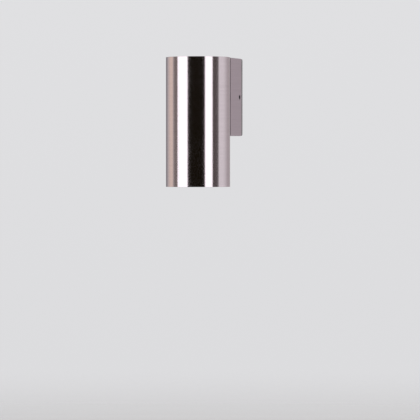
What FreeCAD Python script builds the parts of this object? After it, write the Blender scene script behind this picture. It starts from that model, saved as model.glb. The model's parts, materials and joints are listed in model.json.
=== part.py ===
import FreeCAD, Part
import math
import os

# Tube wall light: a round brushed steel tube held off the wall by a folded steel box, lit downwards by a
# pin-base reflector lamp. Millimetres. +Z up, +X to the right, +Y into the wall. The wall is the plane y = 0,
# and the origin is on it, in the middle of the back box.

# ---------------------------------------------------------------- driving dimensions
TUBE_OD = 60.0  # outside diameter of the round tube
TUBE_WALL = 1.2  # its sheet thickness
TUBE_TOP = 36.6  # top edge of the tube, level with the top of the box
TUBE_BOTTOM = -84.4  # bottom edge of the tube
AXIS_Y = -50.0  # tube axis, in front of the wall

BOX_W = 54.0  # back box, side to side
BOX_H = 73.2  # back box, top to bottom
BOX_SHEET = 1.2
BOX_LIP = 4.7  # flange folded in round the open back
BOX_CORNER = 1.0  # outside radius of the folded corners
SEAL_T = 4.0  # foam ring between box and wall, as squeezed
SEAL_IN = 0.3  # how far the foam stays inside the box's outline
SEAM = 0.8  # rubber sheet between tube and box

BRACKET_W = 43.0
BRACKET_H = 63.0
BRACKET_T = 1.5
SLOT_W = 4.5
SLOT_L = 9.0
SLOT_Z = 24.0  # slots at +Z and -Z of the middle
EAR_H = 16.0
EAR_Y = 14.5
SIDE_SCREW_Y = -9.1
SIDE_SCREW_R = 1.95
SIDE_SCREW_L = 10.0
SIDE_HOLE_R = 2.1
ENTRY_Z = -9.0  # cable entry in the bracket
ENTRY_R = 4.0

BOLT_Z = (27.5, -10.0, -30.0)  # box to tube
BOLT_R = 1.95
WIRE_HOLE_Z = 13.5  # wires from the box into the tube
WIRE_HOLE_R = 5.6
WIRE_R = 0.9

LAMP_FACE = -70.4
LAMP_R = 25.0
LAMP_L = 50.0  # face to the seat of the pins
PIN_PITCH = 10.0
TWIST = 25.0  # degrees from locked to free

GLASS_R = 26.8
GLASS_T = 3.0
RING_R = 27.95
COLLAR_BORE = 28.0
LEDGE_R = 25.4
RING_LIP_R = 24.5
RING_BOTTOM = -83.4
RING_H = 6.0
RING_LIP_T = 2.0

R_OUT = TUBE_OD / 2
R_IN = R_OUT - TUBE_WALL
SADDLE_IN = R_OUT + SEAM
SADDLE_OUT = SADDLE_IN + BOX_SHEET
HW, HH = BOX_W / 2, BOX_H / 2

V = FreeCAD.Vector
X, Y, Z = V(1, 0, 0), V(0, 1, 0), V(0, 0, 1)
parts = {}


# ---------------------------------------------------------------- helpers
def box(x0, x1, y0, y1, z0, z1):
    return Part.makeBox(x1 - x0, y1 - y0, z1 - z0, V(x0, y0, z0))


def cyl(r, p, d, h):
    return Part.makeCylinder(r, h, V(*p), d)


def cyl_z(r, z0, z1, x=0.0, y=AXIS_Y):
    return cyl(r, (x, y, z0), Z, z1 - z0)


def cyl_y(r, y0, y1, x, z):
    return cyl(r, (x, y0, z), Y, y1 - y0)


def cyl_x(r, x0, x1, y, z):
    return cyl(r, (x0, y, z), X, x1 - x0)


def hexagon(flats, p, d, h):
    """Hexagonal prism from point p along direction d."""
    r = flats / math.sqrt(3)
    u = Z if abs(d.dot(Z)) < 0.9 else X
    w = d.cross(u)
    pts = [
        V(*p) + u * (r * math.cos(math.radians(60 * i))) + w * (r * math.sin(math.radians(60 * i)))
        for i in range(6)
    ]
    return Part.Face(Part.makePolygon(pts + pts[:1])).extrude(d * h)


def turned(profile, x=0.0, y=AXIS_Y):
    """Solid turned about the upright line through x, y from (radius, height) points."""
    pts = [V(x + r, y, z) for r, z in profile]
    return Part.Face(Part.makePolygon(pts + pts[:1])).revolve(V(x, y, 0), Z, 360)


def edges_along(shape, d, keep=lambda e: True):
    out = []
    for e in shape.Edges:
        if isinstance(e.Curve, Part.Line) or e.Curve.TypeId == "Part::GeomLine":
            t = e.Vertexes[-1].Point - e.Vertexes[0].Point
            if t.Length > 1e-6 and abs(t.normalize().dot(d)) > 0.9999 and keep(e):
                out.append(e)
    return out


def plate_xz(w, h, r, y0, y1, x=0.0, z=0.0):
    """Upright plate with rounded corners."""
    b = box(x - w / 2, x + w / 2, y0, y1, z - h / 2, z + h / 2)
    return b.makeFillet(r, edges_along(b, Y))


def slot_z(w, length, y0, y1, x, z):
    """Upright slot, round ended, cut along Y."""
    a = (length - w) / 2
    return (
        cyl_y(w / 2, y0, y1, x, z - a)
        .fuse(cyl_y(w / 2, y0, y1, x, z + a))
        .fuse(box(x - w / 2, x + w / 2, y0, y1, z - a, z + a))
    )


def route(points):
    """Straight runs joined by tangent arcs; gives the wire and the arcs' radii."""
    p = [V(*q) for q in points]
    edges, radii, start = [], [], p[0]
    for a, b, c in zip(p, p[1:], p[2:]):
        u, v = b - a, c - b
        t = 0.45 * min(u.Length, v.Length)
        u.normalize()
        v.normalize()
        turn = u.getAngle(v)
        r = t / math.tan(turn / 2)
        bis = v - u
        bis.normalize()
        centre = b + bis * (r / math.cos(turn / 2))
        p0, p1 = b - u * t, b + v * t
        edges.append(Part.LineSegment(start, p0).toShape())
        edges.append(Part.Arc(p0, centre - bis * r, p1).toShape())
        radii.append(round(r, 2))
        start = p1
    edges.append(Part.LineSegment(start, p[-1]).toShape())
    return Part.Wire(edges), radii


def lead(points, r):
    path, radii = route(points)
    d = V(*points[1]) - V(*points[0])
    d.normalize()
    section = Part.Wire(Part.makeCircle(r, V(*points[0]), d))
    solid = path.makePipeShell([section], True, False)
    want = math.pi * r * r * path.Length
    print("lead length %.1f radii %s volume ratio %.4f" % (path.Length, radii, solid.Volume / want))
    return solid


def pan_screw(r, head_r, head_h, length, p, d, slot_w=1.0):
    """Slotted pan-head screw: p is under the head, d points along the shank. The head's rim is rounded."""
    head = cyl(head_r, V(*p) - d * head_h, d, head_h)
    rim = [e for e in head.Edges if abs((e.CenterOfMass - V(*p)).dot(d) + head_h) < 1e-6 and e.Curve.TypeId == "Part::GeomCircle"]
    head = head.makeFillet(head_h * 0.45, rim)
    u = Z if abs(d.dot(Z)) < 0.9 else X
    w = d.cross(u)
    c = V(*p) - d * head_h
    half, deep = slot_w / 2, head_h * 0.45
    pts = [c + u * a + w * b for a, b in ((-half, -9), (half, -9), (half, 9), (-half, 9))]
    cut = Part.Face(Part.makePolygon(pts + pts[:1])).extrude(d * deep)
    return head.cut(cut).fuse(cyl(r, p, d, length)).removeSplitter()


def add(name, shape):
    parts[name] = shape


# ---------------------------------------------------------------- tube and cap
tube = cyl_z(R_OUT, TUBE_BOTTOM, TUBE_TOP)
tube = tube.makeChamfer(0.12, [e for e in tube.Edges if e.Curve.TypeId == "Part::GeomCircle"])
tube = tube.cut(cyl_z(R_IN, TUBE_BOTTOM - 1, TUBE_TOP + 1))
for z in BOLT_Z[1:]:
    tube = tube.cut(cyl_y(2.25, AXIS_Y + 20, AXIS_Y + 40, 0, z))
tube = tube.cut(cyl_y(3.05, AXIS_Y + 20, AXIS_Y + 40, 0, BOLT_Z[0]))
tube = tube.cut(cyl_y(WIRE_HOLE_R, AXIS_Y + 20, AXIS_Y + 40, 0, WIRE_HOLE_Z))
add("tube_body", tube)

# cap: a flat disc welded into the tube, a little below its edge
CAP_TOP = TUBE_TOP - 0.8
cap_r = R_IN - 0.02
cap = cyl_z(cap_r, CAP_TOP - 2.0, CAP_TOP)
cap = cap.makeChamfer(0.3, [e for e in cap.Edges if e.Curve.TypeId == "Part::GeomCircle" and e.CenterOfMass.z > CAP_TOP - 0.1])
add("top_cap", cap)

# ---------------------------------------------------------------- back box
back = -SEAL_T
outer = box(-HW, HW, AXIS_Y, back, -HH, HH)
outer = outer.makeFillet(BOX_CORNER, edges_along(outer, Y))
outer = outer.cut(cyl_z(SADDLE_IN, -HH - 1, HH + 1))
inner = box(-HW + BOX_SHEET, HW - BOX_SHEET, AXIS_Y, back - BOX_SHEET, -HH + BOX_SHEET, HH - BOX_SHEET)
inner = inner.cut(cyl_z(SADDLE_OUT, -HH - 1, HH + 1))
shell = outer.cut(inner)
ow, oh = BOX_W - 2 * BOX_LIP, BOX_H - 2 * BOX_LIP
shell = shell.cut(plate_xz(ow, oh, 1.5, back - BOX_SHEET - 0.5, back + 1))
for s in (-1, 1):
    hole = cyl_x(SIDE_HOLE_R, 20, 30, SIDE_SCREW_Y, 0) if s > 0 else cyl_x(SIDE_HOLE_R, -30, -20, SIDE_SCREW_Y, 0)
    shell = shell.cut(hole)
for z in BOLT_Z:
    shell = shell.cut(cyl_y(2.25, AXIS_Y + 25, AXIS_Y + 36, 0, z))
shell = shell.cut(cyl_y(WIRE_HOLE_R, AXIS_Y + 25, AXIS_Y + 36, 0, WIRE_HOLE_Z))
add("back_box", shell)

# rubber sheet in the seam, set back from the edges
sheet = cyl_z(SADDLE_IN - 0.02, -HH + 1.0, HH - 1.0).cut(cyl_z(R_OUT + 0.02, -HH, HH))
sheet = sheet.common(box(-HW + 1.0, HW - 1.0, AXIS_Y, 0, -HH, HH))
for z in BOLT_Z[1:]:
    sheet = sheet.cut(cyl_y(2.4, AXIS_Y + 25, AXIS_Y + 36, 0, z))
sheet = sheet.cut(cyl_y(4.4, AXIS_Y + 25, AXIS_Y + 36, 0, BOLT_Z[0]))
sheet = sheet.cut(cyl_y(WIRE_HOLE_R + 0.2, AXIS_Y + 25, AXIS_Y + 36, 0, WIRE_HOLE_Z))
add("saddle_gasket", sheet)

# foam ring round the back rim
ring = plate_xz(BOX_W - 2 * SEAL_IN, BOX_H - 2 * SEAL_IN, 1.2, -SEAL_T, 0).cut(plate_xz(ow, oh, 1.5, -SEAL_T - 1, 1))
add("wall_gasket", ring)

# ---------------------------------------------------------------- box to tube
seat_y = AXIS_Y + SADDLE_OUT
washers, bolts = [], []
for i, z in enumerate(BOLT_Z):
    washers.append(cyl_y(4.4, seat_y, seat_y + 0.8, 0, z).cut(cyl_y(2.15, seat_y - 1, seat_y + 2, 0, z)))
    under = seat_y + 0.8 + (0.6 if i == 0 else 0.0)
    bolts.append(pan_screw(BOLT_R, 3.5, 2.6, 8.0, (0, under, z), -Y))
add("bolt_washers", Part.makeCompound(washers))
add("housing_bolts", Part.makeCompound(bolts))

# blind rivet nut in the tube behind the upper bolt
zr = BOLT_Z[0]
flange = cyl_y(4.2, -R_OUT + 2 * R_OUT + AXIS_Y, AXIS_Y + R_OUT + 0.45, 0, zr)
barrel = cyl_y(3.0, AXIS_Y + R_OUT - 8.0, AXIS_Y + R_OUT, 0, zr)
bulge = cyl_y(3.9, AXIS_Y + R_OUT - 4.2, AXIS_Y + R_OUT, 0, zr).common(cyl_z(R_IN - 0.01, zr - 6, zr + 6))
nut = flange.fuse(barrel).fuse(bulge).cut(cyl_y(2.0, AXIS_Y + R_OUT - 12, AXIS_Y + R_OUT + 2, 0, zr))
add("rivet_nut", nut.removeSplitter())

# ---------------------------------------------------------------- wall bracket
bw = BRACKET_W / 2
plate = plate_xz(BRACKET_W, BRACKET_H, 3.0, -BRACKET_T, 0)
for s in (-1, 1):
    x0, x1 = (bw - BRACKET_T, bw) if s > 0 else (-bw, -bw + BRACKET_T)
    ear = box(x0, x1, -EAR_Y, 0, -EAR_H / 2, EAR_H / 2)
    ear = ear.makeFillet(3.0, edges_along(ear, X, lambda e: e.CenterOfMass.y < -EAR_Y + 0.01))
    ear = ear.makeFillet(0.8, edges_along(ear, Z, lambda e: abs(e.CenterOfMass.x) > bw - 0.01 and e.CenterOfMass.y > -0.01))
    plate = plate.fuse(ear)
    n0, n1 = (bw - 5.0, bw - BRACKET_T) if s > 0 else (-bw + BRACKET_T, -bw + 5.0)
    plate = plate.fuse(cyl_x(3.4, n0, n1, SIDE_SCREW_Y, 0))
EARTH_X, EARTH_Z = 14.0, -24.0
plate = plate.fuse(cyl_y(3.2, -BRACKET_T - 1.5, -BRACKET_T + 0.5, EARTH_X, EARTH_Z))
for s in (-1, 1):
    plate = plate.cut(cyl_x(SIDE_SCREW_R + 0.05, -30, 0, SIDE_SCREW_Y, 0) if s < 0 else cyl_x(SIDE_SCREW_R + 0.05, 0, 30, SIDE_SCREW_Y, 0))
    plate = plate.cut(slot_z(SLOT_W, SLOT_L, -5, 2, 0, s * SLOT_Z))
    plate = plate.cut(cyl_y(1.2, -5, 2, s * 4.25, 9.5))
plate = plate.cut(cyl_y(8.0, -5, 2, 0, ENTRY_Z))
plate = plate.cut(cyl_y(2.0, -8, 2, EARTH_X, EARTH_Z))
add("wall_bracket", plate.removeSplitter())

grommet = cyl_y(9.3, -2.9, -BRACKET_T - 0.03, 0, ENTRY_Z)
grommet = grommet.makeFillet(0.5, [e for e in grommet.Edges if e.Curve.TypeId == "Part::GeomCircle" and e.CenterOfMass.y < -2.8])
grommet = grommet.fuse(cyl_y(7.95, -BRACKET_T - 0.5, -0.05, 0, ENTRY_Z)).cut(cyl_y(ENTRY_R, -5, 2, 0, ENTRY_Z))
add("wall_grommet", grommet.removeSplitter())

# ---------------------------------------------------------------- side set screws (hex socket)
for s, name in ((1, "side_screw_right"), (-1, "side_screw_left")):
    tip = HW - 0.3  # outer end, just inside the face of the box
    d = V(-s, 0, 0)
    screw = cyl(SIDE_SCREW_R, (s * tip, SIDE_SCREW_Y, 0), d, SIDE_SCREW_L)
    screw = screw.makeChamfer(0.35, [e for e in screw.Edges if e.Curve.TypeId == "Part::GeomCircle"])
    screw = screw.cut(hexagon(2.0, (s * (tip + 0.1), SIDE_SCREW_Y, 0), d, 2.4))
    add(name, screw)

# ---------------------------------------------------------------- terminal block on the bracket
TB_Z0, TB_Z1, TB_Y0, TB_Y1 = 2.5, 16.5, -11.5, -BRACKET_T
POLES = (-8.5, 0.0, 8.5)
TB_BORE_Y = -6.0
block = box(-13, 13, TB_Y0 + 2.0, TB_Y1, TB_Z0, TB_Z1)
for x in POLES:
    block = block.fuse(box(x - 3.4, x + 3.4, TB_Y0, TB_Y0 + 3.0, TB_Z0 + 0.6, TB_Z1 - 0.6))
block = block.removeSplitter()
clamps, screws = [], []
for x in POLES:
    block = block.cut(cyl(2.05, (x, TB_BORE_Y, TB_Z0 - 1), Z, TB_Z1 - TB_Z0 + 2))
    clamp = cyl(2.0, (x, TB_BORE_Y, TB_Z0 + 1), Z, TB_Z1 - TB_Z0 - 2).cut(cyl(1.3, (x, TB_BORE_Y, TB_Z0), Z, TB_Z1 - TB_Z0))
    for z in (6.2, 12.8):
        block = block.cut(cyl_y(1.7, TB_Y0 - 1, TB_BORE_Y, x, z))
        clamp = clamp.cut(cyl_y(1.5, TB_Y0, TB_BORE_Y, x, z))
        s = cyl_y(1.45, -11.0, -7.0, x, z)
        s = s.makeChamfer(0.2, [e for e in s.Edges if e.Curve.TypeId == "Part::GeomCircle"])
        screws.append(s.cut(box(x - 0.3, x + 0.3, -11.5, -10.2, z - 2, z + 2)))
    clamps.append(clamp)
for s in (-1, 1):
    block = block.cut(cyl_y(1.4, TB_Y0 - 1, 0, s * 4.25, 9.5)).cut(cyl_y(2.3, TB_Y0 - 1, -8.0, s * 4.25, 9.5))
add("terminal_block", block)
add("terminal_clamps", Part.makeCompound(clamps))
add("terminal_screws", Part.makeCompound(screws))
add(
    "terminal_block_screws",
    Part.makeCompound([pan_screw(1.15, 2.1, 1.5, 7.7, (s * 4.25, -8.0, 9.5), Y, 0.6) for s in (-1, 1)]),
)


# earth: ring tags, one under the bracket's screw and one under the upper housing bolt
def tag(p, d, side, wire_r=1.2):
    """Crimped ring tag: p is the ring's middle on its lower face, d its upper side, side the way its barrel points."""
    t = 0.6
    w = d.cross(side)
    ringed = cyl(3.9, p, d, t)
    c = V(*p)
    pts = [c + side * a + w * b for a, b in ((0, -1.5), (5.2, -1.5), (5.2, 1.5), (0, 1.5))]
    ringed = ringed.fuse(Part.Face(Part.makePolygon(pts + pts[:1])).extrude(d * t))
    b0 = c + side * 4.6 + d * (wire_r + 0.0)
    ringed = ringed.fuse(Part.makeCylinder(wire_r, 3.6, b0, side))
    ringed = ringed.cut(cyl(2.15, c - d, d, 4))
    return ringed.cut(Part.makeCylinder(WIRE_R + 0.02, 5.0, b0 + side * 0.8, side)).removeSplitter()


boss_y = -BRACKET_T - 1.5
tag_a = tag((EARTH_X, boss_y, EARTH_Z), -Y, Z)
tag_b = tag((0, seat_y + 0.8, BOLT_Z[0]), Y, X)
add("earth_tags", Part.makeCompound([tag_a, tag_b]))
add("earth_screw", pan_screw(1.95, 3.5, 2.4, 3.4, (EARTH_X, boss_y - 0.6, EARTH_Z), Y))

# ---------------------------------------------------------------- grommet between box and tube
g = cyl_y(7.0, seat_y, seat_y + 1.3, 0, WIRE_HOLE_Z)
g = g.makeFillet(0.5, [e for e in g.Edges if e.Curve.TypeId == "Part::GeomCircle" and e.CenterOfMass.y > seat_y + 1.2])
g = g.fuse(cyl_y(5.5, AXIS_Y + R_IN - 2.4, seat_y + 0.5, 0, WIRE_HOLE_Z))
g = g.fuse(cyl_y(6.8, AXIS_Y + R_IN - 2.4, AXIS_Y + R_IN, 0, WIRE_HOLE_Z).common(cyl_z(R_IN - 0.02, 0, 30)))
add("through_grommet", g.cut(cyl_y(3.8, AXIS_Y + 20, -10, 0, WIRE_HOLE_Z)).removeSplitter())

# ---------------------------------------------------------------- lampholder and its bracket
SEAT = LAMP_FACE + LAMP_L  # where the lamp's base ends and its pins begin
HB0, HB1, HL1 = SEAT + 0.3, SEAT + 18.0, SEAT + 22.0
SHELF_T = 1.5
leg_r = math.sqrt(R_IN**2 - 9.0**2)
leg_y1 = AXIS_Y + leg_r - 0.1
leg = box(-9, 9, leg_y1 - SHELF_T, leg_y1, -36, HL1 + SHELF_T)
leg = leg.makeFillet(3.0, edges_along(leg, Y, lambda e: e.CenterOfMass.z < -35.9))
shelf = box(-5.8, 5.8, AXIS_Y - 13.5, leg_y1, HL1, HL1 + SHELF_T)
shelf = shelf.makeFillet(3.0, edges_along(shelf, Z, lambda e: e.CenterOfMass.y < AXIS_Y))
lhb = leg.fuse(shelf)
for z in BOLT_Z[1:]:
    lhb = lhb.fuse(cyl_y(3.6, leg_y1 - 0.5, AXIS_Y + R_OUT, 0, z).common(cyl_z(R_IN - 0.01, z - 5, z + 5)))
    lhb = lhb.cut(cyl_y(2.0, leg_y1 - 5, AXIS_Y + R_OUT, 0, z))
for s in (-1, 1):
    lhb = lhb.cut(cyl_z(1.5, HL1 - 1, HL1 + 5, 0, AXIS_Y + s * 10.3))
add("lampholder_bracket", lhb.removeSplitter())

body = cyl_z(14.0, HB0, HB1)
body = body.makeChamfer(0.6, [e for e in body.Edges if e.Curve.TypeId == "Part::GeomCircle"])
body = body.cut(box(-9.5, 9.5, AXIS_Y - 6.5, AXIS_Y + 6.5, HB0 + 3.4, HB1 + 1))
for s in (0, 180):
    sector = Part.makeCylinder(PIN_PITCH / 2 + 1.75, 5, V(0, AXIS_Y, HB0 - 1), Z, TWIST)
    sector = sector.cut(cyl_z(PIN_PITCH / 2 - 1.75, HB0 - 2, HB0 + 6))
    sector.rotate(V(0, AXIS_Y, 0), Z, s - TWIST)
    a = math.radians(s)
    b = math.radians(s - TWIST)
    lock = cyl_z(1.75, HB0 - 1, HB0 + 4, PIN_PITCH / 2 * math.cos(a), AXIS_Y + PIN_PITCH / 2 * math.sin(a))
    free = cyl_z(2.75, HB0 - 1, HB0 + 4, PIN_PITCH / 2 * math.cos(b), AXIS_Y + PIN_PITCH / 2 * math.sin(b))
    body = body.cut(sector.fuse(lock).fuse(free))
lid = cyl_z(14.0, HB1, HL1)
lid = lid.makeChamfer(0.6, [e for e in lid.Edges if e.Curve.TypeId == "Part::GeomCircle" and e.CenterOfMass.z > HL1 - 0.1])
screws = []
for s in (-1, 1):
    y = AXIS_Y + s * 10.3
    body = body.cut(cyl_z(1.6, HB0 - 1, HB1 + 1, 0, y)).cut(cyl_z(3.0, HB0 - 1, HB0 + 3.0, 0, y))
    lid = lid.cut(cyl_z(1.6, HB1 - 1, HL1 + 1, 0, y))
    lid = lid.cut(cyl_z(1.1, HB1 - 1, HL1 + 1, s * 7.2, AXIS_Y))
    screws.append(pan_screw(1.45, 2.75, 2.0, 21.5, (0, y, HB0 + 3.0), Z, 0.8))
add("lampholder_body", body)
add("lampholder_lid", lid)
add("lampholder_screws", Part.makeCompound(screws))
clips = []
for s in (-1, 1):
    z0 = SEAT + 6.2 + 0.4
    x = [s * 2.4, s * 8.9]
    top = box(min(x), max(x), AXIS_Y - 3.4, AXIS_Y + 3.4, z0, z0 + 0.5)
    x = [s * 8.4, s * 8.9]
    up = box(min(x), max(x), AXIS_Y - 2.0, AXIS_Y + 2.0, z0, HB1 - 1.5)
    clips.append(top.fuse(up).removeSplitter())
add("lampholder_contacts", Part.makeCompound(clips))

# ---------------------------------------------------------------- leads inside the light
TZ = WIRE_HOLE_Z
for s, name in ((-1, "live_wire"), (1, "neutral_wire")):
    add(
        name,
        lead(
            [
                (s * 8.5, TB_BORE_Y, 10.5),
                (s * 8.5, TB_BORE_Y, 20.0),
                (s * 6.0, -11.0, 23.0),
                (s * 2.0, -14.2, 16.6),
                (s * 1.6, -20.0, TZ),
                (s * 1.9, -28.0, TZ),
                (s * 4.6, -38.0, TZ + 0.8),
                (s * 7.2, AXIS_Y, TZ - 0.6),
                (s * 7.2, AXIS_Y, HB1 - 3.0),
            ],
            WIRE_R,
        ),
    )
tag_y = boss_y - 1.2
earth_a = lead(
    [
        (0, TB_BORE_Y, 8.5),
        (0, TB_BORE_Y, -1.5),
        (8.0, -7.4, -5.0),
        (13.6, -6.0, -9.0),
        (14.0, tag_y, -13.0),
        (EARTH_X, tag_y, EARTH_Z + 5.6),
    ],
    WIRE_R,
)
tag_by = seat_y + 0.8 + 1.2
earth_b = lead(
    [
        (0, TB_BORE_Y, 10.5),
        (0, TB_BORE_Y, 19.0),
        (4.0, -4.6, 24.6),
        (12.0, -6.0, 28.0),
        (14.2, -12.0, 28.6),
        (12.6, tag_by, BOLT_Z[0]),
        (5.6, tag_by, BOLT_Z[0]),
    ],
    WIRE_R,
)
add("earth_wires", Part.makeCompound([earth_a, earth_b]))

# ---------------------------------------------------------------- reflector lamp
F = LAMP_FACE
add(
    "lamp_housing",
    turned(
        [
            (LAMP_R, F),
            (LAMP_R, F + 2.6),
            (LAMP_R - 0.5, F + 3.4),
            (LAMP_R - 0.7, F + 14),
            (LAMP_R - 1.5, F + 19),
            (LAMP_R - 3.6, F + 24),
            (LAMP_R - 7.0, F + 29),
            (15.0, F + 33),
            (13.4, F + 36),
            (13.2, F + 38),
            (11.75, F + 38),
            (11.75, F + 35.6),
            (13.4, F + 32.2),
            (LAMP_R - 8.4, F + 28.2),
            (LAMP_R - 5.0, F + 23.2),
            (LAMP_R - 3.0, F + 18.6),
            (LAMP_R - 2.2, F + 13.8),
            (LAMP_R - 2.2, F + 12.5),
            (LAMP_R - 3.8, F + 12.5),
            (LAMP_R - 3.8, F + 10.9),
            (LAMP_R - 2.0, F + 10.9),
            (LAMP_R - 1.6, F + 2.9),
            (LAMP_R - 1.6, F),
        ]
    ),
)
base = turned(
    [
        (0, F + 46),
        (9.5, F + 46),
        (9.5, F + 35.8),
        (11.7, F + 35.8),
        (11.7, F + 38.02),
        (13.2, F + 38.02),
        (13.2, F + 44),
        (11.6, F + 46),
        (11.6, F + LAMP_L),
        (0, F + LAMP_L),
    ]
)
pins = []
for s in (-1, 1):
    base = base.cut(cyl_z(1.5, F + 44, F + 52, s * PIN_PITCH / 2))
    pin = cyl_z(1.48, F + 44.5, F + 54.2, s * PIN_PITCH / 2)
    head = cyl_z(2.45, F + 54, F + 56.2, s * PIN_PITCH / 2)
    head = head.makeChamfer(0.4, [e for e in head.Edges if e.Curve.TypeId == "Part::GeomCircle"])
    pins.append(pin.fuse(head).removeSplitter())
add("lamp_base", base)
add("lamp_pins", Part.makeCompound(pins))

spots = [(0.0, AXIS_Y)] + [
    (13.5 * math.cos(math.radians(60 * i + 30)), AXIS_Y + 13.5 * math.sin(math.radians(60 * i + 30))) for i in range(6)
]
add("led_board", cyl_z(LAMP_R - 2.3, F + 12.52, F + 13.7))
chips = []
for x, y in spots:
    chips.append(box(x - 1.5, x + 1.5, y - 1.5, y + 1.5, F + 11.7, F + 12.5))
add("led_chips", Part.makeCompound(chips))
lens = cyl_z(LAMP_R - 1.7, F + 0.6, F + 2.8)
for x, y in spots:
    lens = lens.fuse(Part.makeCone(6.2, 2.4, 8.2, V(x, y, F + 2.6), Z))
add("lamp_lens", lens.removeSplitter())
pcb = box(-7, 7, AXIS_Y - 0.6, AXIS_Y + 0.6, F + 15, F + 44)
driver = pcb.fuse(cyl_z(3.8, F + 19, F + 29, 0, AXIS_Y + 4.2)).fuse(box(-4, 4, AXIS_Y - 6.5, AXIS_Y - 0.5, F + 19, F + 26))
driver = driver.fuse(box(-2.5, 2.5, AXIS_Y + 0.5, AXIS_Y + 2.2, F + 32, F + 38)).fuse(cyl_z(2.6, F + 30, F + 36, 0, AXIS_Y - 3.0))
add("lamp_driver", driver.removeSplitter())

# ---------------------------------------------------------------- front glass in its screwed ring
LIP_TOP = RING_BOTTOM + RING_LIP_T
G0 = LIP_TOP + 0.05
G1 = G0 + GLASS_T
LEDGE = G1 + 1.9
add(
    "thread_collar",
    turned(
        [
            (R_IN - 0.02, RING_BOTTOM - 0.6),
            (R_IN - 0.02, LEDGE + 2.0),
            (LEDGE_R, LEDGE + 2.0),
            (LEDGE_R, LEDGE),
            (COLLAR_BORE, LEDGE),
            (COLLAR_BORE, RING_BOTTOM - 0.35),
            (COLLAR_BORE + 0.25, RING_BOTTOM - 0.6),
        ]
    ),
)
glass = cyl_z(GLASS_R, G0, G1)
glass = glass.makeChamfer(0.3, [e for e in glass.Edges if e.Curve.TypeId == "Part::GeomCircle"])
add("front_glass", glass)
add("glass_gasket", turned([(LEDGE_R + 0.1, G1), (GLASS_R - 0.35, G1), (GLASS_R - 0.35, LEDGE - 0.1), (LEDGE_R + 0.1, LEDGE - 0.1)]))
rr = turned(
    [
        (RING_LIP_R + 0.9, RING_BOTTOM),
        (RING_R - 0.4, RING_BOTTOM),
        (RING_R, RING_BOTTOM + 0.4),
        (RING_R, RING_BOTTOM + RING_H),
        (GLASS_R + 0.25, RING_BOTTOM + RING_H),
        (GLASS_R + 0.25, LIP_TOP),
        (RING_LIP_R, LIP_TOP),
        (RING_LIP_R, RING_BOTTOM + 0.9),
    ]
)
for s in (-1, 1):
    x = [s * (RING_LIP_R - 2), s * (RING_LIP_R + 1.6)]
    rr = rr.cut(box(min(x), max(x), AXIS_Y - 1.5, AXIS_Y + 1.5, RING_BOTTOM - 1, RING_BOTTOM + 1.2))
add("retaining_ring", rr)

# ---------------------------------------------------------------- write
os.makedirs("parts", exist_ok=True)
for name, shape in parts.items():
    ok = shape.isValid() and all(s.isClosed() and s.Volume > 0 for s in shape.Solids)
    print("%-24s solids %d volume %10.2f %s" % (name, len(shape.Solids), shape.Volume, "ok" if ok else "BAD"))
    if len(shape.Solids) == 1:
        shape = shape.Solids[0]
    shape.exportStep("parts/%s.step" % name)
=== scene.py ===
import json
import math

import bmesh
import bpy
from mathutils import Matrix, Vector


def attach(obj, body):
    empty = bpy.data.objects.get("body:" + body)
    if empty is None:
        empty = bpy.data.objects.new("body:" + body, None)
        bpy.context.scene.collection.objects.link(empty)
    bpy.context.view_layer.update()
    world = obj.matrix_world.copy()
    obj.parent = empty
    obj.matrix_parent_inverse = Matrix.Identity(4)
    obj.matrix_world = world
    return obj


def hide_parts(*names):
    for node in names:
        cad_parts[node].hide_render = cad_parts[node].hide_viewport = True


# Tube wall light. Metres, the same frame as the CAD: +Z up, +Y into the wall, origin on the wall plane.

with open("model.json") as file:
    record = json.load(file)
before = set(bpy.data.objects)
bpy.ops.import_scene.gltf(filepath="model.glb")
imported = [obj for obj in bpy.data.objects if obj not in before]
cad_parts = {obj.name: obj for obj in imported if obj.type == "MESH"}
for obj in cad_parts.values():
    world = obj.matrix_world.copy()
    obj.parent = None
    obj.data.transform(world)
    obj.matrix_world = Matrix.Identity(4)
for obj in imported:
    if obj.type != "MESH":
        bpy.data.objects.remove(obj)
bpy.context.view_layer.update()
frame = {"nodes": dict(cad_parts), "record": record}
nodes = frame["nodes"]
scene = bpy.context.scene

AXIS_Y = -0.050  # tube axis
R_OUT = 0.030


# ------------------------------------------------------------------ camera
cam_data = bpy.data.cameras.new("main_camera")
cam = bpy.data.objects.new("main_camera", cam_data)
scene.collection.objects.link(cam)
scene.camera = cam
cam_data.lens = 234.9
cam_data.sensor_width = 36.0
cam_data.clip_start, cam_data.clip_end = 0.1, 60.0
cam.location = (0.877, -2.460, -0.0600)
to_axis = Vector((0.0, AXIS_Y, 0.0)) - Vector((cam.location.x, cam.location.y, 0.0))
to_axis.normalize()
right = Vector((to_axis.y, -to_axis.x, 0.0))
yaw, pitch = math.radians(0.25), math.radians(-1.0305)
ahead = (to_axis * math.cos(yaw) + right * math.sin(yaw)) * math.cos(pitch)
ahead.z = math.sin(pitch)
cam.rotation_euler = ahead.to_track_quat("-Z", "Y").to_euler()
scene.view_settings.view_transform = "Standard"
scene.view_settings.look = "None"


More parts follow.
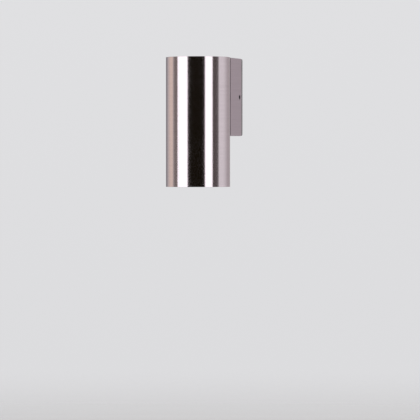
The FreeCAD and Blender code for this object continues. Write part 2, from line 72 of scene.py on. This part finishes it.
# ------------------------------------------------------------------ node helpers
class Tree:
    """Short calls for building a node tree. Values are numbers, tuples or output sockets."""

    def __init__(self, tree):
        self.t = tree
        tree.nodes.clear()

    def put(self, kind, **props):
        n = self.t.nodes.new(kind)
        for k, v in props.items():
            setattr(n, k, v)
        return n

    def set(self, socket, value):
        if isinstance(value, bpy.types.NodeSocket):
            self.t.links.new(value, socket)
        elif socket.type == "RGBA" and len(value) == 3:
            socket.default_value = (*value, 1.0)
        else:
            socket.default_value = value

    def math(self, op, a, b=0.0, c=0.0, clamp=False):
        n = self.put("ShaderNodeMath", operation=op, use_clamp=clamp)
        for i, v in enumerate((a, b, c)):
            self.set(n.inputs[i], v)
        return n.outputs[0]

    def vmath(self, op, a, b=(0, 0, 0)):
        n = self.put("ShaderNodeVectorMath", operation=op)
        self.set(n.inputs[0], a)
        if len(n.inputs) > 1:
            self.set(n.inputs[1], b)
        return n.outputs["Value"] if op in ("DOT_PRODUCT", "LENGTH") else n.outputs["Vector"]

    def mapped(self, v, a, b, c=0.0, d=1.0, smooth=False):
        n = self.put("ShaderNodeMapRange", interpolation_type="SMOOTHSTEP" if smooth else "LINEAR", clamp=True)
        for i, x in enumerate((v, a, b, c, d)):
            self.set(n.inputs[i], x)
        return n.outputs[0]

    def mix(self, fac, a, b, blend="MIX"):
        n = self.put("ShaderNodeMix", data_type="RGBA", blend_type=blend, clamp_factor=True)
        self.set(n.inputs[0], fac)
        self.set(n.inputs[6], a)
        self.set(n.inputs[7], b)
        return n.outputs[2]

    def xyz(self, v):
        n = self.put("ShaderNodeSeparateXYZ")
        self.set(n.inputs[0], v)
        return n.outputs[0], n.outputs[1], n.outputs[2]

    def join(self, x, y, z):
        n = self.put("ShaderNodeCombineXYZ")
        for i, v in enumerate((x, y, z)):
            self.set(n.inputs[i], v)
        return n.outputs[0]

    def noise(self, v, scale=1.0, detail=2.0, rough=0.5, warp=0.0):
        n = self.put("ShaderNodeTexNoise")
        for k, x in (("Vector", v), ("Scale", scale), ("Detail", detail), ("Roughness", rough), ("Distortion", warp)):
            self.set(n.inputs[k], x)
        return n.outputs[0]

    def cells(self, v, scale, feature="F1", out="Distance"):
        n = self.put("ShaderNodeTexVoronoi", feature=feature)
        self.set(n.inputs["Vector"], v)
        self.set(n.inputs["Scale"], scale)
        return n.outputs[out]

    def bump(self, height, strength, depth, normal=None):
        n = self.put("ShaderNodeBump")
        self.set(n.inputs["Strength"], strength)
        self.set(n.inputs["Distance"], depth)
        self.set(n.inputs["Height"], height)
        if normal is not None:
            self.set(n.inputs["Normal"], normal)
        return n.outputs[0]

    def place(self):
        """The piece's own coordinates, in metres in the row frame at rest."""
        return self.put("ShaderNodeTexCoord").outputs["Object"]

    def stretched(self, v, sx, sy, sz):
        return self.vmath("MULTIPLY", v, (sx, sy, sz))


class Finish(Tree):
    """A material with one Principled shader."""

    made = {}

    def __init__(self, name, **fixed):
        self.m = bpy.data.materials.new(name)
        self.m.use_nodes = True
        super().__init__(self.m.node_tree)
        self.out = self.put("ShaderNodeOutputMaterial")
        self.s = self.put("ShaderNodeBsdfPrincipled")
        self.t.links.new(self.s.outputs[0], self.out.inputs["Surface"])
        for k, v in fixed.items():
            self.set(self.s.inputs[k.replace("_", " ")], v)
        Finish.made[name] = self.m

    def __setitem__(self, key, value):
        self.set(self.s.inputs[key], value)


# ------------------------------------------------------------------ finishes
STEEL = (0.690, 0.612, 0.655)


def brushed(name, colour, stretch, tangent, rough=0.215, aniso=1.0, line=0.4):
    """Brushed stainless steel. stretch turns the place into noise space, so that the noise makes lines along the brushing; the gloss spreads along tangent."""
    f = Finish(name, Metallic=1.0)
    f["Anisotropic"] = aniso
    p = f.place()
    level = f.math("GREATER_THAN", f.math("ABSOLUTE", f.xyz(f.put("ShaderNodeNewGeometry").outputs["Normal"])[2]), 0.5)
    q = stretch(f, p, level)
    fine = f.noise(q, 1.0, 5.0, 0.62)
    broad = f.noise(q, 0.21, 3.0, 0.55)
    hand = f.noise(p, 42.0, 3.0, 0.5)
    lines = f.math("MULTIPLY_ADD", fine, 0.62, f.math("MULTIPLY", broad, 0.38))
    dark = tuple(c * 0.90 for c in colour)
    light = tuple(min(1.0, c * 1.07) for c in colour)
    f["Base Color"] = f.mix(f.mapped(lines, 0.32, 0.68), dark, light)
    r = f.mapped(lines, 0.3, 0.7, rough - 0.03, rough + 0.03)
    f["Roughness"] = f.math("ADD", r, f.mapped(hand, 0.35, 0.7, -0.008, 0.014))
    f["Normal"] = f.bump(lines, line, 0.000010)
    f["Tangent"] = tangent(f, p, level)
    return f.m


def from_axis(f, p):
    """Offset from the tube axis, level."""
    x, y, _ = f.xyz(p)
    return x, f.math("SUBTRACT", y, AXIS_Y)


def round_grain(f, p, level):
    """Lines round the tube: on its side they change with height, on its rims with distance from the axis."""
    x, y, z = f.xyz(p)
    u, v = from_axis(f, p)
    r = f.math("SQRT", f.math("ADD", f.math("MULTIPLY", u, u), f.math("MULTIPLY", v, v)))
    return f.join(f.math("MULTIPLY", x, 55.0), f.math("MULTIPLY", y, 55.0), f.math("MULTIPLY", f.math("ADD", z, r), 5200.0))


def round_gloss(f, p, level):
    """The gloss spreads across those lines: upright on the side, outwards on level rims."""
    u, v = from_axis(f, p)
    return f.join(f.math("MULTIPLY", u, level), f.math("MULTIPLY", v, level), f.math("MULTIPLY", f.math("SUBTRACT", 1.0, level), 0.01))


def level_grain(f, p, level):
    """Lines that run level round the folded box, and from side to side on its top and bottom."""
    x, y, z = f.xyz(p)
    across = f.math("ADD", f.math("MULTIPLY", y, level), f.math("MULTIPLY", z, f.math("SUBTRACT", 1.0, level)))
    return f.join(f.math("MULTIPLY", x, 55.0), f.math("MULTIPLY", y, 55.0), f.math("MULTIPLY", across, 5200.0))


def level_gloss(f, p, level):
    return f.join(0.0, level, f.math("SUBTRACT", 1.0, level))


def cap_grain(f, p, level):
    """The cap's disc is brushed from front to back."""
    x, y, z = f.xyz(p)
    return f.join(f.math("MULTIPLY", x, 5200.0), f.math("MULTIPLY", y, 55.0), f.math("MULTIPLY", z, 900.0))


brushed("brushed_tube", STEEL, round_grain, round_gloss)
brushed("brushed_cap", STEEL, cap_grain, lambda f, p, level: f.join(1.0, 0.0, 0.0), rough=0.26, aniso=0.9)
# Painted shade: the box's steel is the tube's steel made about a tenth darker, so its sides read darker than the tube.
# The rougher, less anisotropic gloss is the box's own finish.
brushed("brushed_box", (0.622, 0.543, 0.602), level_grain, level_gloss, rough=0.42, aniso=0.65)


def spun(f, p):
    """Across turning marks: along the radius on level faces and along Z on round ones."""
    nz = f.math("ABSOLUTE", f.xyz(f.put("ShaderNodeNewGeometry").outputs["Normal"])[2])
    return round_gloss(f, p, f.math("GREATER_THAN", nz, 0.5))


def turned(name, colour, rough, pitch=4200.0):
    f = Finish(name, Metallic=1.0)
    f["Anisotropic"] = 0.75
    p = f.place()
    x, y, z = f.xyz(p)
    r = f.math("SQRT", f.math("ADD", f.math("POWER", x, 2.0), f.math("POWER", f.math("SUBTRACT", y, AXIS_Y), 2.0)))
    marks = f.noise(f.join(f.math("MULTIPLY", x, 30.0), f.math("MULTIPLY", z, pitch), f.math("MULTIPLY", r, pitch)), 1.0, 4.0, 0.6)
    f["Base Color"] = f.mix(f.mapped(marks, 0.3, 0.7), tuple(c * 0.86 for c in colour), tuple(min(1, c * 1.08) for c in colour))
    f["Roughness"] = f.mapped(marks, 0.3, 0.7, rough - 0.05, rough + 0.05)
    f["Normal"] = f.bump(marks, 0.55, 0.000015)
    f["Tangent"] = spun(f, p)
    return f.m


turned("turned_steel", (0.68, 0.64, 0.65), 0.28)


def plated(name, colour, rough, spangle=0.0, grain=900.0):
    f = Finish(name, Metallic=1.0)
    p = f.place()
    n = f.noise(p, grain, 4.0, 0.6)
    base = f.mix(f.mapped(n, 0.3, 0.7), tuple(c * 0.84 for c in colour), colour)
    r = f.mapped(n, 0.3, 0.7, rough - 0.06, rough + 0.08)
    if spangle:
        cell = f.cells(p, spangle, out="Color")
        tone = f.xyz(cell)[0]
        base = f.mix(f.mapped(tone, 0.0, 1.0, 0.0, 0.35), base, tuple(min(1.0, c * 1.12) for c in colour))
        r = f.math("ADD", r, f.mapped(tone, 0.0, 1.0, -0.05, 0.06))
    f["Base Color"] = base
    f["Roughness"] = r
    f["Normal"] = f.bump(n, 0.25, 0.00002)
    return f.m


plated("zinc_plated", (0.76, 0.77, 0.78), 0.27)
plated("zinc_sheet", (0.72, 0.73, 0.745), 0.36, spangle=260.0, grain=500.0)
plated("plated_brass", (0.83, 0.70, 0.42), 0.26)
plated("tinned_brass", (0.80, 0.78, 0.72), 0.33)
plated("nickel_pins", (0.78, 0.75, 0.70), 0.18)
plated("black_oxide", (0.105, 0.102, 0.106), 0.40)


def moulded(name, colour, rough, grain=1400.0, depth=0.00003, wax=0.0, tone=0.06, gloss=0.5):
    f = Finish(name)
    f["Specular IOR Level"] = gloss
    p = f.place()
    n = f.noise(p, grain, 3.0, 0.55)
    wide = f.noise(p, 60.0, 2.0, 0.5)
    low = tuple(c * (1 - tone) for c in colour)
    f["Base Color"] = f.mix(f.mapped(f.math("MULTIPLY_ADD", n, 0.4, f.math("MULTIPLY", wide, 0.6)), 0.35, 0.65), low, colour)
    f["Roughness"] = f.mapped(n, 0.3, 0.7, rough - 0.05, rough + 0.06)
    f["Normal"] = f.bump(n, 0.3, depth)
    if wax:
        f["Subsurface Weight"] = wax
        f["Subsurface Scale"] = 0.0008
        f["Subsurface Radius"] = (1.0, 0.9, 0.8)
    return f.m


moulded("black_rubber", (0.022, 0.021, 0.021), 0.62, tone=0.25, gloss=0.35)
moulded("white_nylon", (0.80, 0.79, 0.73), 0.42, wax=0.25)
moulded("brown_silicone", (0.15, 0.055, 0.022), 0.45, tone=0.15)
moulded("blue_silicone", (0.030, 0.095, 0.34), 0.45, tone=0.15)
moulded("white_silicone", (0.78, 0.78, 0.75), 0.5, wax=0.4)
moulded("lamp_shell", (0.72, 0.72, 0.73), 0.36, grain=2500.0, gloss=0.7)
moulded("lamp_base_plastic", (0.78, 0.78, 0.75), 0.48, grain=1800.0)


def foam():
    """Closed-cell sealing foam: small skinned bubbles."""
    f = Finish("grey_foam")
    f["Specular IOR Level"] = 0.3
    p = f.place()
    small = f.cells(p, 3600.0)
    big = f.cells(p, 1500.0)
    h = f.math("MULTIPLY_ADD", small, 0.5, f.math("MULTIPLY", big, 0.5))
    f["Base Color"] = f.mix(f.mapped(h, 0.1, 0.6), (0.19, 0.188, 0.192), (0.30, 0.297, 0.302))
    f["Roughness"] = f.mapped(h, 0.1, 0.6, 0.74, 0.92)
    f["Normal"] = f.bump(h, 0.6, 0.00012)


foam()


def ceramic():
    """Unglazed steatite with fine dark specks."""
    f = Finish("white_ceramic")
    p = f.place()
    n = f.noise(p, 1200.0, 4.0, 0.6)
    speck = f.mapped(f.cells(p, 700.0), 0.05, 0.11, 1.0, 0.0)
    base = f.mix(f.mapped(n, 0.3, 0.7), (0.70, 0.67, 0.60), (0.80, 0.78, 0.71))
    f["Base Color"] = f.mix(f.math("MULTIPLY", speck, 0.35), base, (0.36, 0.32, 0.27))
    f["Roughness"] = f.mapped(n, 0.3, 0.7, 0.52, 0.68)
    f["Normal"] = f.bump(n, 0.35, 0.00004)


ceramic()


def earth_sheath():
    """Green and yellow: the stripe runs along the lead because it goes by the surface's facing."""
    f = Finish("green_yellow_sheath")
    p = f.place()
    facing = f.vmath("DOT_PRODUCT", f.put("ShaderNodeNewGeometry").outputs["Normal"], (0.46, -0.62, 0.63))
    n = f.noise(p, 1400.0, 2.0, 0.5)
    stripe = f.mapped(f.math("MULTIPLY_ADD", n, 0.06, facing), 0.14, 0.18)
    f["Base Color"] = f.mix(stripe, (0.035, 0.20, 0.040), (0.74, 0.58, 0.030))
    f["Roughness"] = f.mapped(n, 0.3, 0.7, 0.42, 0.52)
    f["Normal"] = f.bump(n, 0.2, 0.00002)


earth_sheath()


def led_board():
    """White solder mask with copper tracks under it."""
    f = Finish("led_board_white")
    p = f.place()
    tracks = f.cells(f.stretched(p, 1.0, 1.0, 0.0), 210.0, feature="DISTANCE_TO_EDGE")
    raised = f.mapped(tracks, 0.04, 0.07)
    n = f.noise(p, 1500.0, 2.0, 0.5)
    f["Base Color"] = f.mix(raised, (0.66, 0.66, 0.62), (0.80, 0.80, 0.79))
    f["Roughness"] = f.mapped(n, 0.3, 0.7, 0.30, 0.42)
    f["Normal"] = f.bump(raised, 0.3, 0.00003)


led_board()


def circuit():
    """Driver board: green mask on the board itself, and sleeves, tape and ferrite on what stands on it."""
    f = Finish("circuit_board")
    p = f.place()
    x, y, z = f.xyz(p)
    off = f.math("ABSOLUTE", f.math("SUBTRACT", y, AXIS_Y))
    board = f.math("LESS_THAN", off, 0.00064)
    tracks = f.mapped(f.cells(f.stretched(p, 1.0, 0.0, 1.0), 420.0, feature="DISTANCE_TO_EDGE"), 0.05, 0.09)
    green = f.mix(tracks, (0.050, 0.16, 0.060), (0.018, 0.085, 0.030))
    n = f.noise(p, 900.0, 2.0, 0.5)
    front = f.math("GREATER_THAN", y, AXIS_Y)
    parts = f.mix(front, f.mix(n, (0.42, 0.30, 0.05), (0.50, 0.38, 0.08)), f.mix(n, (0.020, 0.022, 0.035), (0.035, 0.038, 0.055)))
    f["Base Color"] = f.mix(board, parts, green)
    f["Roughness"] = f.mapped(n, 0.3, 0.7, 0.35, 0.5)
    f["Normal"] = f.bump(tracks, 0.25, 0.00003)


circuit()


def phosphor():
    """Chip: a yellow phosphor window that glows warm."""
    f = Finish("led_phosphor")
    p = f.place()
    n = f.noise(p, 2600.0, 2.0, 0.5)
    f["Base Color"] = f.mix(f.mapped(n, 0.3, 0.7), (0.82, 0.62, 0.14), (0.90, 0.72, 0.22))
    f["Roughness"] = f.mapped(n, 0.3, 0.7, 0.35, 0.5)
    f["Emission Color"] = f.mix(f.mapped(n, 0.2, 0.8), (1.0, 0.78, 0.48), (1.0, 0.84, 0.58))
    f["Emission Strength"] = 60.0


phosphor()


def see_through(name, tint, ior, rough, wave, depth):
    """Clear solid: refracts for the camera, and lets the lamps' light past."""
    f = Finish(name, Roughness=rough, IOR=ior)
    f["Transmission Weight"] = 1.0
    p = f.place()
    n = f.noise(p, wave, 2.0, 0.5)
    f["Base Color"] = f.mix(f.mapped(n, 0.3, 0.7), tint, tuple(min(1.0, c * 1.02) for c in tint))
    f["Normal"] = f.bump(n, 0.08, depth)
    clear = f.put("ShaderNodeBsdfTransparent")
    f.set(clear.inputs[0], tuple(c * 0.96 for c in tint))
    both = f.put("ShaderNodeMixShader")
    f.set(both.inputs[0], f.put("ShaderNodeLightPath").outputs["Is Shadow Ray"])
    f.t.links.new(f.s.outputs[0], both.inputs[1])
    f.t.links.new(clear.outputs[0], both.inputs[2])
    f.t.links.new(both.outputs[0], f.out.inputs["Surface"])


see_through("clear_glass", (0.955, 0.985, 0.975), 1.52, 0.0, 30.0, 0.00002)
see_through("clear_acrylic", (0.985, 0.985, 0.98), 1.49, 0.04, 220.0, 0.00003)

slot_of = {s["node"]: s["material_slot"] for s in frame["record"]["subparts"]}
for name, o in nodes.items():
    o.material_slots[0].material = Finish.made[slot_of[name]]



# ------------------------------------------------------------------ pieces with finer shapes than the CAD
MM = 0.001


def object_of(name, me, body, slot, *stands_for):
    me.polygons.foreach_set("use_smooth", [True] * len(me.polygons))
    me.set_sharp_from_angle(angle=math.radians(32.0))
    o = bpy.data.objects.new(name, me)
    scene.collection.objects.link(o)
    me.materials.clear()
    me.materials.append(Finish.made[slot])
    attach(o, body)
    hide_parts(*stands_for)
    return o


def loft(rings, closed_section, place, caps=False, bm=None):
    """Mesh through rings of points, added to bm if there is one; place maps a point in mm to its seat in metres."""
    bm = bm or bmesh.new()
    rows = [[bm.verts.new(place(q)) for q in ring] for ring in rings]
    n = len(rows)
    for i in range(n if closed_section else n - 1):
        a, b = rows[i], rows[(i + 1) % n]
        for j in range(len(a)):
            k = (j + 1) % len(a)
            bm.faces.new((a[j], a[k], b[k], b[j]))
    if caps:
        bm.faces.new(list(reversed(rows[0])))
        bm.faces.new(rows[-1])
    bmesh.ops.recalc_face_normals(bm, faces=bm.faces)
    return bm


def to_mesh(bm, name):
    me = bpy.data.meshes.new(name)
    bm.to_mesh(me)
    bm.free()
    return me


def carved(bm, cutters, name):
    """The mesh less the cutters, each a mesh of its own."""
    body = bpy.data.objects.new(name + "_blank", to_mesh(bm, name + "_blank"))
    scene.collection.objects.link(body)
    tools = []
    for i, cut in enumerate(cutters):
        c = bpy.data.objects.new("cutter_%d" % i, to_mesh(cut, "cutter_%d" % i))
        scene.collection.objects.link(c)
        m = body.modifiers.new("cut_%d" % i, "BOOLEAN")
        m.operation, m.solver, m.object = "DIFFERENCE", "EXACT", c
        tools.append(c)
    bpy.context.view_layer.update()
    made = bpy.data.meshes.new_from_object(body.evaluated_get(bpy.context.evaluated_depsgraph_get()))
    for o in [body] + tools:
        bpy.data.objects.remove(o, do_unlink=True)
    bm = bmesh.new()
    bm.from_mesh(made)
    bmesh.ops.remove_doubles(bm, verts=bm.verts, dist=0.000002)  # the cuts leave slivers where they graze a thread
    bmesh.ops.dissolve_degenerate(bm, edges=bm.edges, dist=0.000002)
    bmesh.ops.triangulate(bm, faces=[face for face in bm.faces if len(face.verts) > 4])
    same = {}
    for face in bm.faces:
        same.setdefault(frozenset(v.index for v in face.verts), []).append(face)
    bmesh.ops.delete(bm, geom=[face for group in same.values() if len(group) > 1 for face in group], context="FACES")
    bm.to_mesh(made)
    bm.free()
    return made


def thread_cut(turn, z, pitch, depth):
    """How far a right-hand thread is cut in at this angle and height: narrow crest, wider root."""
    phase = (z / pitch - turn) % 1.0
    t = abs(2.0 * phase - 1.0)
    return depth * min(1.0, max(0.0, (0.90 - t) / 0.72))


def retaining_ring():
    """Threaded ring: outside 27.95, 1 mm pitch, two slots for a pin spanner in the lip."""
    low, high, r = -83.4, -77.4, 27.95
    inner = [(27.05, high), (27.05, low + 2.0), (24.65, low + 2.0), (24.5, low + 1.85), (24.5, low + 0.9), (25.4, low)]
    turns, steps = 200, 50
    rings = []
    for i in range(turns):
        a = i / turns
        sec = list(inner)
        for j in range(steps + 1):
            z = low + (high - low) * j / steps
            q = min(r - thread_cut(a, z, 1.0, 0.52), r - max(0.0, 0.55 - (z - low)), r - max(0.0, 0.35 - (high - z)))
            sec.append((q, z))
        c, s_ = math.cos(2 * math.pi * a), math.sin(2 * math.pi * a)
        rings.append([(c * q, s_ * q, z) for q, z in sec])
    bm = loft(rings, True, lambda q: (q[0] * MM, AXIS_Y + q[1] * MM, q[2] * MM))
    cuts = []
    for side in (-1, 1):
        c = bmesh.new()
        bmesh.ops.create_cube(c, size=1.0)
        for v in c.verts:
            v.co = Vector(((side * 24.3 + v.co.x * 3.6) * MM, AXIS_Y + v.co.y * 3.0 * MM, (low + 0.2 + v.co.z * 2.0) * MM))
        cuts.append(c)
    me = carved(bm, cuts, "threaded_ring")
    return object_of("threaded_ring", me, "retaining_ring", "turned_steel", "retaining_ring")


def threaded_collar():
    """The ring's seat in the tube's mouth, with the same thread on the inside, and a plain groove under its ledge."""
    low, ledge = -84.0, -76.45
    outer = [(25.4, ledge), (25.4, ledge + 2.0), (28.78, ledge + 2.0), (28.78, low)]
    turns, steps = 200, 56
    top = ledge - 0.75
    rings = []
    for i in range(turns):
        a = i / turns
        sec = list(outer)
        for j in range(steps + 1):
            z = low + (top - low) * j / steps
            t = abs(2.0 * ((z - a) % 1.0) - 1.0)
            cut = 0.52 * min(1.0, max(0.0, (0.80 - t) / 0.72)) * min(1.0, (top - z) / 0.4)
            sec.append((max(28.0 - cut, 28.25 - (z - low)), z))
        sec.append((28.0, ledge))
        c, s_ = math.cos(2 * math.pi * a), math.sin(2 * math.pi * a)
        rings.append([(c * q, s_ * q, z) for q, z in sec])
    bm = loft(rings, True, lambda q: (q[0] * MM, AXIS_Y + q[1] * MM, q[2] * MM))
    return object_of("threaded_collar", to_mesh(bm, "threaded_collar"), "housing", "turned_steel", "thread_collar")


def screws(name, node, seats, r, length, pitch, depth, slot, head=None, start=0.3, around=36, across=False):
    """Right-hand threaded screws in one piece. seats: the point under the head, or the outer end of a headless one, and the way it goes in.
    slot: width and depth. across turns the slot a quarter."""
    bm, cuts = bmesh.new(), []
    for i, (p, d) in enumerate(seats):
        p, d = Vector(p), Vector(d)
        u = Vector((0, 0, 1)) if abs(d.z) < 0.9 else Vector((1, 0, 0))
        w_ = d.cross(u)
        seat = lambda q, p=p, d=d, u=u, w_=w_: (p + u * q[0] + w_ * q[1] + d * q[2]) * MM
        profile = []
        if head:
            hr, hh = head
            f = hh * 0.45
            profile = [(0.2, -hh)] + [(hr - f + f * math.sin(k * math.pi / 12), -hh + f - f * math.cos(k * math.pi / 12)) for k in range(7)]
            profile += [(hr, -0.06), (hr - 0.06, 0.0), (r + 0.12, 0.0), (r, 0.1)]
        rings = [[(q * math.cos(2 * math.pi * k / around), q * math.sin(2 * math.pi * k / around), z) for k in range(around)] for q, z in profile]
        z0 = start if head else 0.0
        n = int(round((length - z0) / pitch * 8))
        for j in range(n + 1):
            z = z0 + (length - z0) * j / n
            ring = []
            for k in range(around):
                a = k / around + 0.37 * i
                fade = min(1.0, (z - z0) / (0.7 * pitch)) if head else 1.0
                q = min(r - thread_cut(a, z, pitch, depth) * fade, r - max(0.0, 0.3 - (length - z)))
                if not head:
                    q = min(q, r - max(0.0, 0.22 - z))
                ring.append((q * math.cos(2 * math.pi * k / around), q * math.sin(2 * math.pi * k / around), z))
            rings.append(ring)
        loft(rings, False, seat, caps=True, bm=bm)
        half, reach, top = slot[0] / 2, (head[0] if head else r) + 1.0, -(head[1] if head else 0.0)
        hx, hy = (reach, half) if across else (half, reach)
        cuts.append(loft([[(-hx, -hy, z), (hx, -hy, z), (hx, hy, z), (-hx, hy, z)] for z in (top - 0.5, top + slot[1])], False, seat, caps=True))
    return object_of(name, carved(bm, cuts, name), "housing", "zinc_plated", node)


def set_screw(name, side):
    """M4 set screw along X, hexagon socket outwards, cup point inwards."""
    r, length, pitch, turns, steps, out = 1.95, 10.0, 0.7, 48, 110, 26.7
    rings = []
    for j in range(steps + 1):
        z = length * j / steps
        ring = []
        for i in range(turns):
            a = i / turns
            q = min(r - thread_cut(a, z, pitch, 0.36), r - max(0.0, 0.42 - z), r - max(0.0, 0.42 - (length - z)))
            ring.append((q * math.cos(2 * math.pi * a), q * math.sin(2 * math.pi * a), z))
        rings.append(ring)
    cup = [(1.15, length), (0.2, length - 0.55)]
    for q, z in cup:
        rings.append([(q * math.cos(2 * math.pi * i / turns), q * math.sin(2 * math.pi * i / turns), z) for i in range(turns)])
    y0 = -9.1
    seat = lambda q: (side * (out - q[2]) * MM, (y0 + q[0]) * MM, -side * q[1] * MM)
    bm = loft(rings, False, seat, caps=True)
    sock = []
    for z, af in ((-0.5, 2.35), (0.0, 2.30), (0.16, 2.02), (2.4, 2.02)):
        sock.append([(af / math.sqrt(3) * math.cos(math.pi / 3 * i), af / math.sqrt(3) * math.sin(math.pi / 3 * i), z) for i in range(6)])
    cut = loft(sock, False, seat, caps=True)
    me = carved(bm, [cut], name)
    return object_of(name, me, "side_screw_right" if side > 0 else "side_screw_left", "black_oxide", "side_screw_right" if side > 0 else "side_screw_left")


retaining_ring()
set_screw("set_screw_right", 1)
set_screw("set_screw_left", -1)
threaded_collar()
inwards, outwards = (0, 1, 0), (0, -1, 0)
screws("box_bolts", "housing_bolts", [((0, -16.6, 27.5), outwards), ((0, -17.2, -10.0), outwards), ((0, -17.2, -30.0), outwards)], 1.95, 8.0, 0.7, 0.36, (1.0, 1.17), head=(3.5, 2.6))
screws("earth_terminal_screw", "earth_screw", [((14.0, -3.6, -24.0), inwards)], 1.95, 3.4, 0.7, 0.36, (1.0, 1.08), head=(3.5, 2.4))
screws("block_screws", "terminal_block_screws", [((x, -8.0, 9.5), inwards) for x in (-4.25, 4.25)], 1.15, 7.7, 0.45, 0.22, (0.6, 0.68), head=(2.1, 1.5), start=1.2, around=28)
screws("holder_screws", "lampholder_screws", [((0, y, -17.1), (0, 0, 1)) for y in (-60.3, -39.7)], 1.45, 21.5, 0.5, 0.27, (0.8, 0.9), head=(2.75, 2.0), start=13.5, around=32)
screws("clamp_screws", "terminal_screws", [((x, -11.0, z), inwards) for x in (-8.5, 0.0, 8.5) for z in (6.2, 12.8)], 1.45, 4.0, 0.5, 0.27, (0.6, 0.8), around=32, across=True)

# ------------------------------------------------------------------ floor, backdrop and light
def disc(name, r, z, rings=24, segs=96):
    bm = bmesh.new()
    bmesh.ops.create_circle(bm, cap_ends=True, cap_tris=True, segments=segs, radius=r)
    me = bpy.data.meshes.new(name)
    bm.to_mesh(me)
    bm.free()
    o = bpy.data.objects.new(name, me)
    o.location = (0.0, AXIS_Y, z)
    scene.collection.objects.link(o)
    return o


floor = disc("floor", 5.0, -0.60)
f = Finish("pale_floor")
p = f.place()
n = f.noise(p, 9.0, 4.0, 0.6)
f["Base Color"] = f.mix(n, (0.80, 0.80, 0.805), (0.83, 0.83, 0.835))
f["Roughness"] = 0.8
f["Specular IOR Level"] = 0.2
away = f.vmath("LENGTH", p)
under = f.put("ShaderNodeNewGeometry").outputs["Backfacing"]
clear = f.put("ShaderNodeBsdfTransparent")
both = f.put("ShaderNodeMixShader")
f.set(both.inputs[0], f.math("MAXIMUM", under, f.mapped(away, 1.6, 4.6, 0.0, 1.0, smooth=True)))
f.t.links.new(f.s.outputs[0], both.inputs[1])
f.t.links.new(clear.outputs[0], both.inputs[2])
f.t.links.new(both.outputs[0], f.out.inputs["Surface"])
floor.data.materials.append(f.m)
floor.visible_glossy = False

world = bpy.data.worlds.new("studio")
scene.world = world
world.use_nodes = True
w = Tree(world.node_tree)
x, y, z = w.xyz(w.put("ShaderNodeTexCoord").outputs["Generated"])
turn = w.math("MULTIPLY", w.math("ARCTAN2", x, w.math("MULTIPLY", y, -1.0)), 57.29578)
turn = w.math("WRAP", w.math("SUBTRACT", turn, 20.0), 180.0, -180.0)
rise = w.math("MULTIPLY", w.math("ARCSINE", z), 57.29578)


def card(under, a, b, colour, power, left=2.0, right=2.0, top=62.0, fade=10.0):
    """A panel of the studio from turn a to b, with soft sides, over what is under it."""
    m = w.math("MULTIPLY", w.mapped(turn, a - left / 2, a + left / 2, smooth=True), w.mapped(turn, b - right / 2, b + right / 2, 1.0, 0.0, smooth=True))
    m = w.math("MULTIPLY", m, w.mapped(w.math("ABSOLUTE", rise), top - fade / 2, top + fade / 2, 1.0, 0.0, smooth=True))
    return w.mix(m, under, tuple(c * power for c in colour))


room = w.mix(w.mapped(rise, -60.0, 70.0, smooth=True), (0.40, 0.395, 0.40), (0.54, 0.54, 0.55))
room = card(room, 96.0, 178.0, (1.0, 0.92, 0.925), 0.465, left=30.0, right=4.0)
room = card(room, -178.0, -146.0, (1.0, 0.96, 1.0), 0.26, left=4.0, right=16.0)
room = card(room, -132.0, -102.0, (1.0, 0.84, 0.72), 0.86, left=40.0, right=12.0)
room = card(room, 79.5, 120.0, (1.0, 0.985, 0.985), 0.87, left=8.0, right=44.0)
room = card(room, -99.0, -80.0, (1.0, 0.87, 0.80), 0.235, left=14.0, right=1.5)
room = card(room, 53.5, 79.5, (1.0, 0.86, 0.83), 0.105, left=1.5, right=8.0)
room = card(room, -40.0, 26.0, (1.0, 0.66, 0.15), 0.0062)
room = card(room, -79.2, -38.7, (1.0, 1.0, 1.0), 1.80, left=1.5, right=1.5)
room = card(room, 25.6, 53.8, (1.0, 1.0, 1.0), 1.80, left=1.5, right=1.5)
back = w.mix(w.mapped(rise, -9.0, 6.0), (0.70, 0.70, 0.715), (0.755, 0.755, 0.77))
lit = w.put("ShaderNodeBackground")
w.set(lit.inputs[0], room)
seen = w.put("ShaderNodeBackground")
w.set(seen.inputs[0], back)
pick = w.put("ShaderNodeMixShader")
w.set(pick.inputs[0], w.put("ShaderNodeLightPath").outputs["Is Camera Ray"])
w.t.links.new(lit.outputs[0], pick.inputs[1])
w.t.links.new(seen.outputs[0], pick.inputs[2])
end = w.put("ShaderNodeOutputWorld")
w.t.links.new(pick.outputs[0], end.inputs[0])

# the lamp's own beam, from just under the glass
beam_data = bpy.data.lights.new("lamp_beam", "SPOT")
beam_data.energy = 2.2
beam_data.color = (1.0, 0.80, 0.55)
beam_data.spot_size = math.radians(64.0)
beam_data.spot_blend = 0.7
beam_data.shadow_soft_size = 0.018
beam = bpy.data.objects.new("lamp_beam", beam_data)
beam.location = (0.0, AXIS_Y, -0.092)
scene.collection.objects.link(beam)
